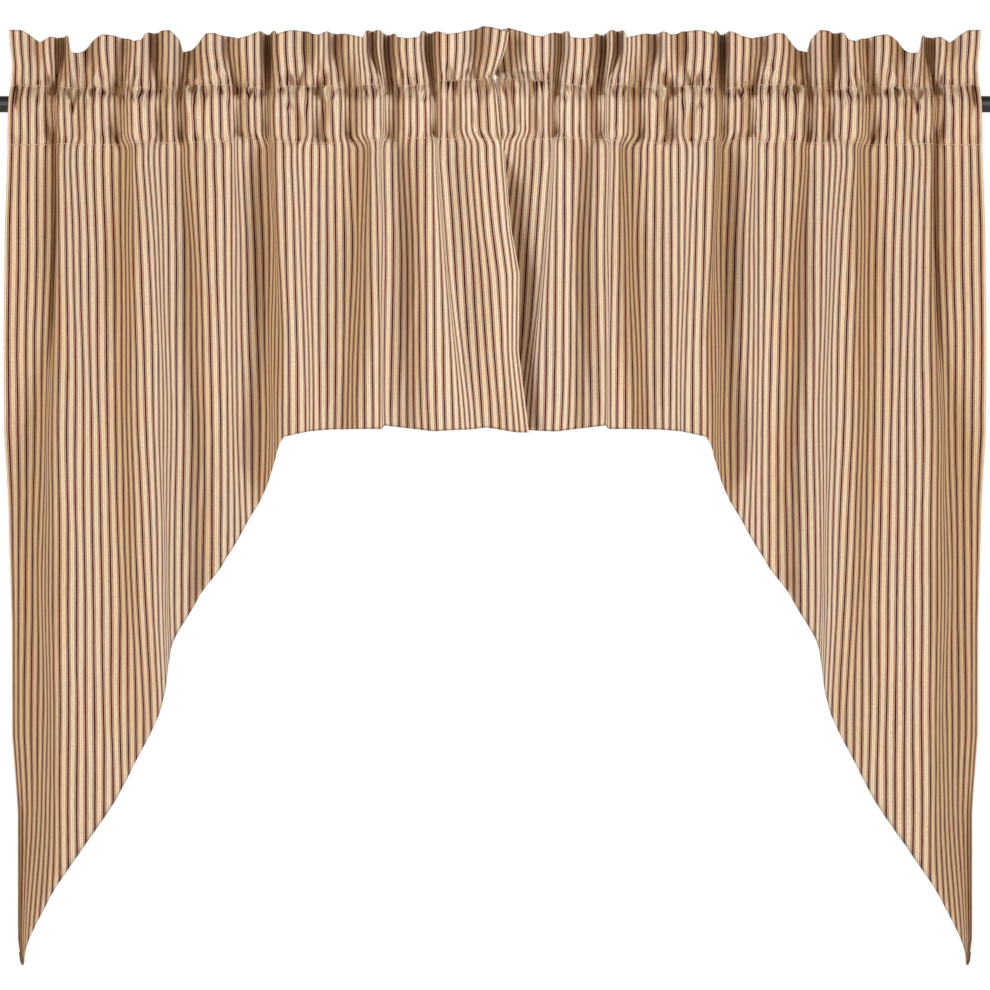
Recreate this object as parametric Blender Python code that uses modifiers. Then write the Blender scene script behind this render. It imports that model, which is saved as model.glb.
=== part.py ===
"""Swag and tail drape: two gathered panels of striped cloth on one round rod.

Each panel is one cut of cloth. Its top is turned over to the back and sewn
down with two rows of stitches: between the rows runs the pocket that the rod
goes through, and above them stands a ruffle. Below, the cloth hangs in uneven
folds, short at the middle of the window and long in a tail at the outer side.

Frame: metres, X to the right, Y away from the viewer, Z up. The origin is on
the rod's axis, at the middle of its length.
"""

import bmesh
import bpy
import numpy as np

MM = 0.001

# The rod, in millimetres.
ROD_DIAMETER = 16.0
ROD_LENGTH = 984.0
ROD_SIDES = 32
ROD_CHAMFER = 1.0

# One panel laid flat, in millimetres.
FLAT_WIDTH = 740.0
SHORT_DROP = 391.0
TAIL_DROP = 914.0
TAIL_CUT_WIDTH = 410.0

# Heights above the rod's axis, in millimetres.
UPPER_STITCH = 16.0
LOWER_STITCH = -40.0
HEADING_TOP = 73.0

# The cloth, in millimetres.
CLOTH_THICKNESS = 1.2
ROD_REACH = 9.85
HANG_BACK = 32.0
POCKET_BULGE = 9.0
MEAN_DEPTH = 9.0
FOLD_ROUNDING = 4.5

# Folds. One row is one fold, from the outer edge inwards. Columns: how far out
# from the middle of the rod the cloth turns back, where the fold's floor
# starts and ends, where the cloth has come forward again, how deep the floor
# lies, and how deep the face after it lies. A first row that starts at its own
# floor is the outer edge turned back, and a last one that ends there is the
# inner edge.
RUFFLE_FOLDS = (
    (459, 451, 447, 441, 7, 3),
    (437, 430, 427, 418, 16, 0),
    (416, 408, 398, 386, 12, 3),
    (376, 369, 363, 356, 13, 2),
    (345, 340, 333, 322, 19, 1),
    (316, 309, 295, 282, 20, 3),
    (273, 267, 262, 256, 13, 2),
    (232, 227, 221, 215, 27, 0),
    (197, 189, 182, 174, 16, 4),
    (164, 159, 154, 148, 15, 3),
    (130, 126, 122, 117, 14, 1),
    (114, 109, 103, 95, 21, 3),
    (78, 73, 67, 59, 23, 2),
    (33, 27, 20, 12, 17, 4),
)
POCKET_FOLDS = (
    (460, 442, 434, 425, 14, 0),
    (411, 405, 399, 390, 8, 2),
    (381, 372, 366, 352, 19, -3),
    (338, 331, 325, 319, 13, 3),
    (315, 310, 304, 295, 17, -1),
    (260, 251, 248, 243, 21, 3),
    (238, 230, 226, 217, 14, 0),
    (207, 203, 199, 192, 9, 0),
    (190, 180, 173, 166, 22, 2),
    (152, 147, 143, 136, 17, 0),
    (128, 124, 121, 115, 10, -2),
    (113, 107, 96, 86, 18, -2),
    (67, 63, 58, 52, 18, 3),
    (47, 44, 41, 36, 8, 2),
    (32, 27, 23, 16, 14, 4),
)
BODY_FOLDS = (
    (477, 477, 468, 460, 12, 12),
    (457, 456, 455, 434, 12, 0),
    (411, 405, 400, 394, 6, 4),
    (384, 378, 366, 351, 13, -9),
    (336, 319, 304, 277, 21, -9),
    (262, 235, 229, 202, 30, -8),
    (194, 180, 148, 128, 26, -6),
    (112, 108, 102, 80, 31, 0),
    (59, 42, 22, 6, 19, 8),
    (-6, -18, -18, -18, 14, 14),
)
HEM_FOLDS = (
    (478, 478, 470, 450, 32, 33),
    (448, 447, 445, 424, 34, 0),
    (408, 402, 398, 392, 6, 3),
    (378, 373, 368, 352, 7, -12),
    (331, 313, 296, 279, 25, 6),
    (268, 246, 224, 200, 31, -4),
    (194, 172, 149, 134, 34, 12),
    (112, 108, 101, 50, 30, 6),
    (40, 20, 7, -4, 22, 10),
    (-18, -33, -33, -33, 16, 16),
)
TAIL_FOLDS = (
    (472, 472, 470, 448, 36, 27),
    (446, 445, 444, 423, 27, 2),
    (400, 395, 390, 384, 5, 3),
    (376, 369, 364, 352, 7, -6),
    (327, 319, 300, 280, 42, 6),
) + HEM_FOLDS[5:]
TIP_FOLDS = (
    (465, 465, 464, 446, 34, 20),
    (444, 443, 442, 422, 19, 2),
) + TAIL_FOLDS[2:]

# Depth of the face before the first fold of each table.
FIRST_FACE = 3.0

# Where the gathered cloth's two edges lie, how far out from the middle.
RUFFLE_OUTER, RUFFLE_INNER = 471.5, 1.0
POCKET_OUTER, POCKET_INNER = 474.0, -4.0

# Lengths over which the folds of one table turn into those of the next: from the
# upper stitches up to the ruffle's, and from below the lower stitches to the body's.
RUFFLE_TURN = 38.0
BODY_TURN_START = 4.0
BODY_TURN_END = 54.0

# Heights at which the hanging folds above are those of the table.
BODY_LEVEL = -132.0
HEM_LEVEL = -317.0
HANGING_FOLDS = (
    (BODY_LEVEL, BODY_FOLDS),
    (HEM_LEVEL, HEM_FOLDS),
    (-600.0, TAIL_FOLDS),
    (-737.0, TIP_FOLDS),
)

# The panel's two upright edges. Columns: height, how far out from the middle.
OUTER_EDGE = (
    (73, 472), (35, 469.5), (5, 472), (-40, 475), (-115, 477), (-320, 478.5),
    (-385, 474), (-505, 471), (-615, 471.5), (-690, 464.5), (-815, 463.5), (-850, 460),
)
INNER_EDGE = (
    (73, 1.0), (20, 1.5), (0, -3), (-40, -8), (-122, -16), (-165, -24),
    (-240, -23), (-303, -31), (-320, -33),
)
# The right panel's inner edge, which runs beside the left one's through the
# pocket and then goes behind it.
INNER_EDGE_BEHIND = (
    (73, -1.0), (26, 2.0), (14, 2.0), (0, 6.0), (-40, 12.5), (-50, 12.5), (-80, -6),
    (-122, -16), (-240, -23), (-303, -31), (-320, -33),
)
# Where the right panel's inner part lies behind the left panel's. Columns:
# height, share of it that has gone behind, and how deep it lies there.
BEHIND = (
    (73, 1.0, 24), (28, 1.0, 24), (15, 0.0, 24), (-46, 0.0, 38), (-80, 1.0, 38), (-330, 1.0, 38),
)
BEHIND_FLATTENED = 0.3
BEHIND_FROM = 36.0
BEHIND_TO = 85.0

# Top of the ruffle. Columns: how far out from the middle, dip below its top.
RUFFLE_TOP = (
    (472, 2), (460, 2), (443, 14), (427, 6), (415, 7), (411, 24), (401, 19),
    (380, 6), (357, 10), (344, 9), (340, 2), (315, 3), (308, 19), (296, 18),
    (283, 6), (249, 10), (231, 2), (213, 6), (190, 0), (173, 6), (162, 2),
    (128, 10), (123, -1), (98, 6), (85, 11), (73, 8), (69, 0), (46, 6),
    (27, -1), (15, -3), (0, 4),
)
# Waves of the short hem. Columns: how far out from the middle, drop below its mean.
HEM_WAVE = (
    (205, 5), (180, 1), (160, -1), (111, -1), (108, -5), (60, 1), (25, -1), (8, -3), (-20, 2),
    (-40, 2),
)

# The grid of one panel: columns across the cloth and rows down it.
CLOTH_COLUMNS = 64
RUFFLE_ROWS = (50.0, 30.0)
POCKET_ROWS = (UPPER_STITCH, ROD_REACH, 6.95, 0.0, -12.0, -26.0, LOWER_STITCH)
BODY_ROWS = (-54.0, -72.0, -95.0)
FAN_ROWS = 7
EDGE_SPREAD = 70.0
SEAM_MERGE = 0.01

# The folded lines: points along each, how many there are, how far they run past
# the cloth's top and tip, and the height whose turns set the grid's columns.
SAMPLES = 600
LEVELS = 90
LEVEL_MARGIN = 4.0
TURNS_LEVEL = 37
EVEN_SHARE = 0.028

# The depth that makes a folded line as long as the cloth is wide is found by
# halving the range between these two scales.
SHALLOWEST = 0.3
DEEPEST = 2.5
HALVINGS = 14
ROUNDING_REACH = 3.0

# How the pocket rounds over the rod, and its back wall falls in below it.
POCKET_ROUNDING = 1.35
HANG_BACK_CURVE = 1.5


def column(table, index):
    return np.array([row[index] for row in table], dtype=float)


def from_table(table, value):
    """Second column of a two-column table, read at a value of the first."""
    first, second = column(table, 0), column(table, 1)
    order = np.argsort(first)
    return np.interp(value, first[order], second[order])


def from_columns(table, value, index):
    """A column of a table of more columns, read at a value of the first."""
    return from_table([(row[0], row[index]) for row in table], value)


def smooth_step(value, start, end):
    share = np.clip((value - start) / (end - start), 0.0, 1.0)
    return share * share * (3.0 - 2.0 * share)


def fold_corners(folds, outer, inner):
    """Corner points (out, depth) of the cloth's edge seen from above."""
    corners = []
    face_before = FIRST_FACE
    if folds[0][0] != folds[0][1]:
        corners.append((outer, face_before))
    for back, floor_start, floor_end, forward, depth, face in folds:
        if back != floor_start:
            corners.append((back, face_before))
        corners += [(floor_start, depth), (floor_end, depth)]
        if forward != floor_end:
            corners.append((forward, face))
        face_before = face
    if folds[-1][3] != folds[-1][2]:
        corners.append((inner, face_before))
    return np.array(corners, dtype=float)


def arc_lengths(points):
    steps = np.hypot(*np.diff(points, axis=0).T)
    return np.concatenate(([0.0], np.cumsum(steps)))


def even_spacing(points, count):
    lengths = arc_lengths(points)
    wanted = np.linspace(0.0, lengths[-1], count)
    return np.stack([np.interp(wanted, lengths, points[:, axis]) for axis in (0, 1)], axis=1)


def rounded(points):
    """The folded line with its corners rounded off, its two ends kept."""
    even = even_spacing(points, SAMPLES)
    step = arc_lengths(even)[-1] / (SAMPLES - 1)
    reach = int(ROUNDING_REACH * FOLD_ROUNDING / step)
    offsets = np.arange(-reach, reach + 1)
    weights = np.exp(-0.5 * (offsets * step / FOLD_ROUNDING) ** 2)
    weights /= weights.sum()
    before = 2.0 * even[0] - even[reach:0:-1]
    after = 2.0 * even[-1] - even[-2:-reach - 2:-1]
    padded = np.vstack([before, even, after])
    return np.stack([np.convolve(padded[:, axis], weights, mode="valid") for axis in (0, 1)], axis=1)


def section(folds, outer, inner):
    """The folded line at one height, as deep as the panel's full width needs."""
    corners = fold_corners(folds, outer, inner)
    shallow, deep = SHALLOWEST, DEEPEST
    for _ in range(HALVINGS):
        scale = 0.5 * (shallow + deep)
        line = rounded(corners * (1.0, scale))
        if arc_lengths(line)[-1] < FLAT_WIDTH:
            shallow = scale
        else:
            deep = scale
    return even_spacing(line, SAMPLES)


def hanging_folds(height):
    """The table of folds at a height below the pocket, between two tables."""
    upper = HANGING_FOLDS[0]
    for lower in HANGING_FOLDS[1:]:
        if height > lower[0]:
            break
        upper = lower
    else:
        return upper[1]
    share = float(np.clip((upper[0] - height) / (upper[0] - lower[0]), 0.0, 1.0))
    return tuple(
        tuple((1.0 - share) * a + share * b for a, b in zip(row_above, row_below))
        for row_above, row_below in zip(upper[1], lower[1])
    )


def section_table():
    """Folded lines at even steps of height, from the ruffle's top to the tail's tip."""
    highest = HEADING_TOP + LEVEL_MARGIN
    heights = np.linspace(highest, HEADING_TOP - TAIL_DROP - LEVEL_MARGIN, LEVELS)
    ruffle = section(RUFFLE_FOLDS, RUFFLE_OUTER, RUFFLE_INNER)
    pocket = section(POCKET_FOLDS, POCKET_OUTER, POCKET_INNER)
    lines = []
    for height in heights:
        outer = float(from_table(OUTER_EDGE, height))
        inner = float(from_table(INNER_EDGE, height))
        hanging = section(hanging_folds(min(height, BODY_LEVEL)), outer, inner)
        in_ruffle = smooth_step(height, UPPER_STITCH, UPPER_STITCH + RUFFLE_TURN)
        below_stitches = LOWER_STITCH - height
        in_body = smooth_step(below_stitches, BODY_TURN_START, BODY_TURN_END)
        gathered = (1.0 - in_ruffle) * pocket + in_ruffle * ruffle
        lines.append((1.0 - in_body) * gathered + in_body * hanging)
    return heights, np.array(lines)


SECTION_HEIGHTS, SECTION_LINES = section_table()


def read_section(across, height):
    """Point (out, depth) of the cloth, for its place across the panel and its height."""
    level = np.interp(-height, -SECTION_HEIGHTS, np.arange(LEVELS))
    place = across / FLAT_WIDTH * (SAMPLES - 1)
    low_level = np.clip(level.astype(int), 0, LEVELS - 2)
    low_place = np.clip(place.astype(int), 0, SAMPLES - 2)
    level_share = (level - low_level)[:, None]
    place_share = (place - low_place)[:, None]
    above = (1 - place_share) * SECTION_LINES[low_level, low_place]
    above += place_share * SECTION_LINES[low_level, low_place + 1]
    below = (1 - place_share) * SECTION_LINES[low_level + 1, low_place]
    below += place_share * SECTION_LINES[low_level + 1, low_place + 1]
    return (1 - level_share) * above + level_share * below


def gathered_point(across, height, behind):
    """Point (out, depth), drawn to the panel's edges and stepped back if behind."""
    point = read_section(across, height)
    outer_end = read_section(np.zeros_like(height), height)
    inner_end = read_section(np.full_like(height, FLAT_WIDTH), height)
    inner_table = INNER_EDGE_BEHIND if behind else INNER_EDGE
    to_outer = from_table(OUTER_EDGE, height) - outer_end[:, 0]
    to_inner = from_table(inner_table, height) - inner_end[:, 0]
    near_outer = np.clip(1.0 - across / EDGE_SPREAD, 0.0, 1.0) ** 2
    near_inner = np.clip(1.0 - (FLAT_WIDTH - across) / EDGE_SPREAD, 0.0, 1.0) ** 2
    point[:, 0] += to_outer * near_outer + to_inner * near_inner
    if behind:
        share = from_columns(BEHIND, height, 1) * (1.0 - smooth_step(point[:, 0], BEHIND_FROM, BEHIND_TO))
        base = from_columns(BEHIND, height, 2)
        flattened = base + BEHIND_FLATTENED * (point[:, 1] - 0.5 * base)
        point[:, 1] += share * (flattened - point[:, 1])
    return point


def cloth_point(across, height, wall, behind):
    """World point in millimetres of the left panel; wall -1 is the pocket's front, 1 its back."""
    out, depth = gathered_point(across, height, behind).T
    depth = depth - MEAN_DEPTH
    in_pocket = np.clip((height - LOWER_STITCH) / (UPPER_STITCH - LOWER_STITCH), 0.0, 1.0)
    bulge = POCKET_BULGE * np.sin(np.pi * in_pocket ** POCKET_ROUNDING)
    over_rod = np.sqrt(np.maximum(ROD_REACH ** 2 - height ** 2, 0.0))
    fallen = np.clip(height / LOWER_STITCH, 0.0, 1.0) ** HANG_BACK_CURVE
    below_rod = ROD_REACH - HANG_BACK * fallen
    clear = np.where(height > 0.0, over_rod, below_rod)
    beside_rod = (height <= ROD_REACH) & (height > LOWER_STITCH)
    reach = np.where(beside_rod, np.maximum(wall * depth + bulge, clear), wall * depth + bulge)
    return np.stack([-out, wall * reach, height], axis=1)


def bottom_height(across):
    """Height of the cut hem: a straight slant up the tail, then level."""
    share = np.clip(across / TAIL_CUT_WIDTH, 0.0, 1.0)
    drop = TAIL_DROP + (SHORT_DROP - TAIL_DROP) * share
    out = read_section(across, np.full_like(across, HEM_LEVEL))[:, 0]
    wave = from_table(HEM_WAVE, out)
    return HEADING_TOP - drop - wave * (share >= 1.0)


def top_height(across):
    """Height of the ruffle's turned top."""
    out = read_section(across, np.full_like(across, HEADING_TOP - 10.0))[:, 0]
    return HEADING_TOP - from_table(RUFFLE_TOP, out)


def front_rows(across):
    """Heights of the grid's rows, from the ruffle's top down to the hem."""
    bottom = bottom_height(across)
    rows = [top_height(across)]
    rows += [np.full_like(across, height) for height in RUFFLE_ROWS + POCKET_ROWS + BODY_ROWS]
    start = BODY_ROWS[-1]
    rows += [start + (bottom - start) * (step + 1) / FAN_ROWS for step in range(FAN_ROWS)]
    return np.array(rows)


def crease_columns():
    """Places across the cloth for the grid's columns, closer where it turns."""
    places = np.linspace(0.0, FLAT_WIDTH, SAMPLES)
    line = SECTION_LINES[TURNS_LEVEL]
    heading = np.unwrap(np.arctan2(np.gradient(line[:, 1]), -np.gradient(line[:, 0])))
    turning = np.abs(np.gradient(heading, places)) + EVEN_SHARE
    grown = np.concatenate(([0.0], np.cumsum(0.5 * (turning[1:] + turning[:-1]))))
    return np.interp(np.linspace(0.0, grown[-1], CLOTH_COLUMNS), grown, places)


def new_material(name, color, roughness, metallic):
    material = bpy.data.materials.new(name)
    material.use_nodes = True
    shader = material.node_tree.nodes["Principled BSDF"]
    shader.inputs["Base Color"].default_value = (*color, 1.0)
    shader.inputs["Roughness"].default_value = roughness
    shader.inputs["Metallic"].default_value = metallic
    material.diffuse_color = (*color, 1.0)
    return material


def make_rod(collection):
    """A plain round bar with chamfered ends."""
    mesh = bpy.data.meshes.new("rod")
    shape = bmesh.new()
    bmesh.ops.create_cone(
        shape, cap_ends=True, segments=ROD_SIDES, radius1=ROD_DIAMETER * MM / 2,
        radius2=ROD_DIAMETER * MM / 2, depth=ROD_LENGTH * MM,
    )
    shape.to_mesh(mesh)
    shape.free()
    rod = bpy.data.objects.new("rod", mesh)
    rod.rotation_euler = (0.0, np.pi / 2, 0.0)
    mesh.materials.append(new_material("rod_black", (0.02, 0.02, 0.022), 0.4, 0.6))
    mesh.shade_smooth()
    mesh.set_sharp_from_angle(angle=0.6)
    chamfer = rod.modifiers.new("chamfer", "BEVEL")
    chamfer.width = ROD_CHAMFER * MM
    chamfer.segments = 1
    chamfer.angle_limit = 0.9
    collection.objects.link(rod)


def add_cloth(shape, across, heights, wall, behind):
    """A flat grid, one vertex for each row and column, moved into its folds."""
    rows, columns = heights.shape
    grid = bmesh.ops.create_grid(shape, x_segments=columns - 1, y_segments=rows - 1, size=0.5)
    flat = np.array([vert.co[:2] for vert in grid["verts"]]) + 0.5
    column_of = np.rint(flat[:, 0] * (columns - 1)).astype(int)
    row_of = np.rint((1.0 - flat[:, 1]) * (rows - 1)).astype(int)
    points = cloth_point(across[column_of], heights[row_of, column_of], wall, behind)
    for vert, point in zip(grid["verts"], points):
        vert.co = point * MM


def make_panel(collection, name, mirrored):
    """The folded sheet with the pocket's back wall sewn to it, given its thickness."""
    across = crease_columns()
    pocket = np.array([np.full_like(across, height) for height in POCKET_ROWS])
    mesh = bpy.data.meshes.new(name)
    shape = bmesh.new()
    add_cloth(shape, across, front_rows(across), wall=-1.0, behind=mirrored)
    add_cloth(shape, across, pocket, wall=1.0, behind=mirrored)
    bmesh.ops.remove_doubles(shape, verts=shape.verts, dist=SEAM_MERGE * MM)
    if mirrored:
        bmesh.ops.scale(shape, vec=(-1.0, 1.0, 1.0), verts=shape.verts)
    shape.to_mesh(mesh)
    shape.free()
    panel = bpy.data.objects.new(name, mesh)
    mesh.materials.append(new_material(name + "_ticking", (0.72, 0.55, 0.36), 0.9, 0.0))
    mesh.shade_smooth()
    thickness = panel.modifiers.new("thickness", "SOLIDIFY")
    thickness.solidify_mode = "NON_MANIFOLD"
    thickness.nonmanifold_thickness_mode = "CONSTRAINTS"
    thickness.thickness = CLOTH_THICKNESS * MM
    thickness.offset = 0.0
    thickness.nonmanifold_merge_threshold = SEAM_MERGE * MM
    collection.objects.link(panel)


def main():
    for old in list(bpy.data.objects):
        bpy.data.objects.remove(old, do_unlink=True)
    collection = bpy.data.collections.new("swag_and_tail_drape")
    bpy.context.scene.collection.children.link(collection)
    make_rod(collection)
    make_panel(collection, "left_panel", mirrored=False)
    make_panel(collection, "right_panel", mirrored=True)


main()
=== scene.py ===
import bpy
import numpy as np
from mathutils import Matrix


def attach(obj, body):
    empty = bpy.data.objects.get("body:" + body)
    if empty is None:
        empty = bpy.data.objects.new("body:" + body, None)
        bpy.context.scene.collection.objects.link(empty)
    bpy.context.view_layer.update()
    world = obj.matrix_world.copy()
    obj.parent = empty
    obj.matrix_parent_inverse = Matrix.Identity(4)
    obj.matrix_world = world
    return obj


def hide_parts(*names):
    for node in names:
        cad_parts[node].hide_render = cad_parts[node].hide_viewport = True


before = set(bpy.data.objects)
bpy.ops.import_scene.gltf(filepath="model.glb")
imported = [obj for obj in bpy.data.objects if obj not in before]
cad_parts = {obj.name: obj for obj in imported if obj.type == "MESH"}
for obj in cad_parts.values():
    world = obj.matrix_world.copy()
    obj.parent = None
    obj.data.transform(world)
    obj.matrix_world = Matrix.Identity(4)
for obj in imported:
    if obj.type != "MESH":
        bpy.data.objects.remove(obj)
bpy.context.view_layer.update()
MM = 0.001

# Rod. A plain round bar with flat ends, painted near black with a satin
# gloss. Its solid has the right shape, so it only gets its paint here.
ROD_COLOUR = (0.012, 0.012, 0.014, 1.0)
SMOOTHEST_PAINT = 0.36
ROUGHEST_PAINT = 0.5
PAINT_GLOSS = 0.4
SPECK_SCALE = 900.0


def painted_steel(name):
    paint = bpy.data.materials.new(name)
    paint.use_nodes = True
    nodes, links = paint.node_tree.nodes, paint.node_tree.links
    shader = nodes["Principled BSDF"]
    shader.inputs["Base Color"].default_value = ROD_COLOUR
    shader.inputs["Specular IOR Level"].default_value = PAINT_GLOSS
    place = nodes.new("ShaderNodeTexCoord")
    specks = nodes.new("ShaderNodeTexNoise")
    specks.inputs["Scale"].default_value = SPECK_SCALE
    spread = nodes.new("ShaderNodeMapRange")
    spread.inputs["To Min"].default_value = SMOOTHEST_PAINT
    spread.inputs["To Max"].default_value = ROUGHEST_PAINT
    links.new(place.outputs["Object"], specks.inputs["Vector"])
    links.new(specks.outputs["Fac"], spread.inputs["Value"])
    links.new(spread.outputs["Result"], shader.inputs["Roughness"])
    return paint


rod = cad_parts["rod"]
rod.data.materials[0] = painted_steel("rod_satin_black")

# Left panel. One cut of woven ticking, its top turned over to the back and
# sewn down with two rows of stitches: the pocket for the rod lies between
# them, the ruffle stands above. Every other edge has a narrow turned hem.
# All sizes are in millimetres, heights from the rod's axis.
CLOTH_WIDTH = 740.0
HEADING_TOP = 73.0
UPPER_STITCH = 16.0
LOWER_STITCH = -40.0
TAIL_DROP = 914.0
HEM_TURN = 13.0
ROD_REACH = 9.3
HANG_BACK = 32.0
POCKET_BULGE = 11.0
BULGE_LEAN = 1.8
HANG_BACK_CURVE = 1.5
MEAN_DEPTH = 9.0
CREASE_ROUNDING = 2.6

# Creases. The stripes are woven at even steps, so they number the places
# across the cloth, from the outer edge inwards. One row is one crease.
# Columns: stripe, how far out from the middle of the rod, depth.
RUFFLE_CREASES = (
    (0.5, 471.5, 0), (2, 461.4, 1), (3, 454.3, 7), (3.6, 449.5, 9), (4.6, 442, 3),
    (5.6, 435.5, 0), (6.2, 431.5, 2), (7.4, 428.5, 16), (9.4, 424, 18), (11, 420, 14),
    (11.8, 415.5, -1), (12.5, 413.2, 1), (13.2, 408, 13), (14.3, 397.5, 14), (16, 386, 2),
    (17, 378, 2), (18.3, 368, 12), (19.4, 361, 12), (20.6, 356.5, 3), (22, 350, 1),
    (23, 343, 1), (24, 337.5, 15), (25, 330.5, 19), (25.8, 325.5, 4), (27, 317, 1),
    (27.6, 314.5, 3), (28.4, 311, 16), (29.6, 306.5, 20), (31.6, 297, 18), (33, 286.7, 3),
    (34, 281.5, 2), (35, 272.4, 2), (36, 266, 13), (37, 260, 12), (38.6, 252, 2),
    (40, 242, 1), (41, 233.8, 1), (41.8, 229, 4), (43, 225, 24), (45, 221.5, 26),
    (46.2, 217.5, 8), (47, 212.6, 0), (48, 203.5, 0), (48.8, 197, 3), (49.6, 191, 14),
    (50.3, 184, 14), (51.2, 176, 4), (52.4, 169.5, 3), (53.4, 165, 5), (54.3, 161, 16),
    (55.4, 154, 16), (56.3, 147.5, 3), (57.4, 140, 2), (59.2, 132, 1), (60.6, 126.5, 3),
    (61.4, 122.5, 15), (62.4, 118.5, 16), (63.2, 115, 3), (63.8, 112.5, 2), (64.5, 110, 12),
    (65.3, 107.5, 22), (66.3, 103.5, 22), (67, 99.5, 6), (67.7, 95.7, 2), (69, 86.7, 1),
    (70, 78, 1), (71, 72, 4), (72, 68, 20), (73.6, 63, 23), (75, 59, 8),
    (76, 54.5, 2), (77, 46.4, 1), (78, 37.6, 2), (79, 30, 8), (80, 24.5, 15),
    (81.4, 19.5, 14), (82.4, 13, 3), (83.4, 6.5, 0), (84.5, -1, -1), (85.6, -3, 6),
)
POCKET_CREASES = (
    (0.5, 474, 3), (2, 461.3, 2), (3, 454, 2), (4, 446, 4), (5, 437.7, 12),
    (6, 430.7, 18), (7.6, 428, 19), (9.4, 425.8, 2), (10, 424.5, -2), (11, 418, 0),
    (12.2, 410.5, 7), (13, 404.7, 6), (14, 398.8, 0), (15, 390, -1), (16, 382, 3),
    (17, 375.5, 15), (18.2, 369, 20), (19, 364, 10), (20, 360.5, 1), (22, 353.3, -3),
    (23, 344.7, -2), (24, 335.8, 0), (25, 330, 13), (26, 326.3, 12), (27, 319.3, 2),
    (28, 312.5, 0), (28.7, 309.7, 16), (30, 306.2, 21), (30.7, 303.5, 8), (31.2, 300, -1),
    (32, 291.5, -2), (33, 283.4, -2), (35, 266.8, 1), (36, 258, 4), (37.2, 253.5, 16),
    (38.4, 250.5, 22), (39.3, 246.5, 4), (40, 239, 0), (41, 233.8, 2), (42, 226.5, 12),
    (44, 221, 14), (45.4, 218, 4), (46.2, 214, -1), (47.3, 205.5, 0), (48, 201.5, 7),
    (48.8, 194, 8), (49.6, 186, 0), (50.2, 181, 1), (50.9, 178, 10), (51.6, 175.5, 22),
    (52.4, 172, 20), (53.2, 165.5, 2), (54, 157.5, 0), (55, 150, 3), (56, 145.6, 18),
    (57, 142, 16), (57.8, 136, 2), (59, 129, -2), (60, 125.5, -3), (61, 118.3, -3),
    (61.6, 112, -2), (62.6, 109.5, 12), (64, 107, 22), (66, 99.5, 19), (66.8, 95, 4),
    (68, 89, -1), (70, 76, -1), (71, 67, 3), (72.2, 62, 17), (74, 58.5, 19),
    (75.6, 55, 5), (76.4, 50, 2), (77.2, 46, 12), (78, 40, 8), (79, 33, 2),
    (80, 28, 3), (81, 22.5, 8), (82, 15, 5), (83, 6.2, 1), (84, -3.5, 1), (85.6, -8, 5),
)
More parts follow.
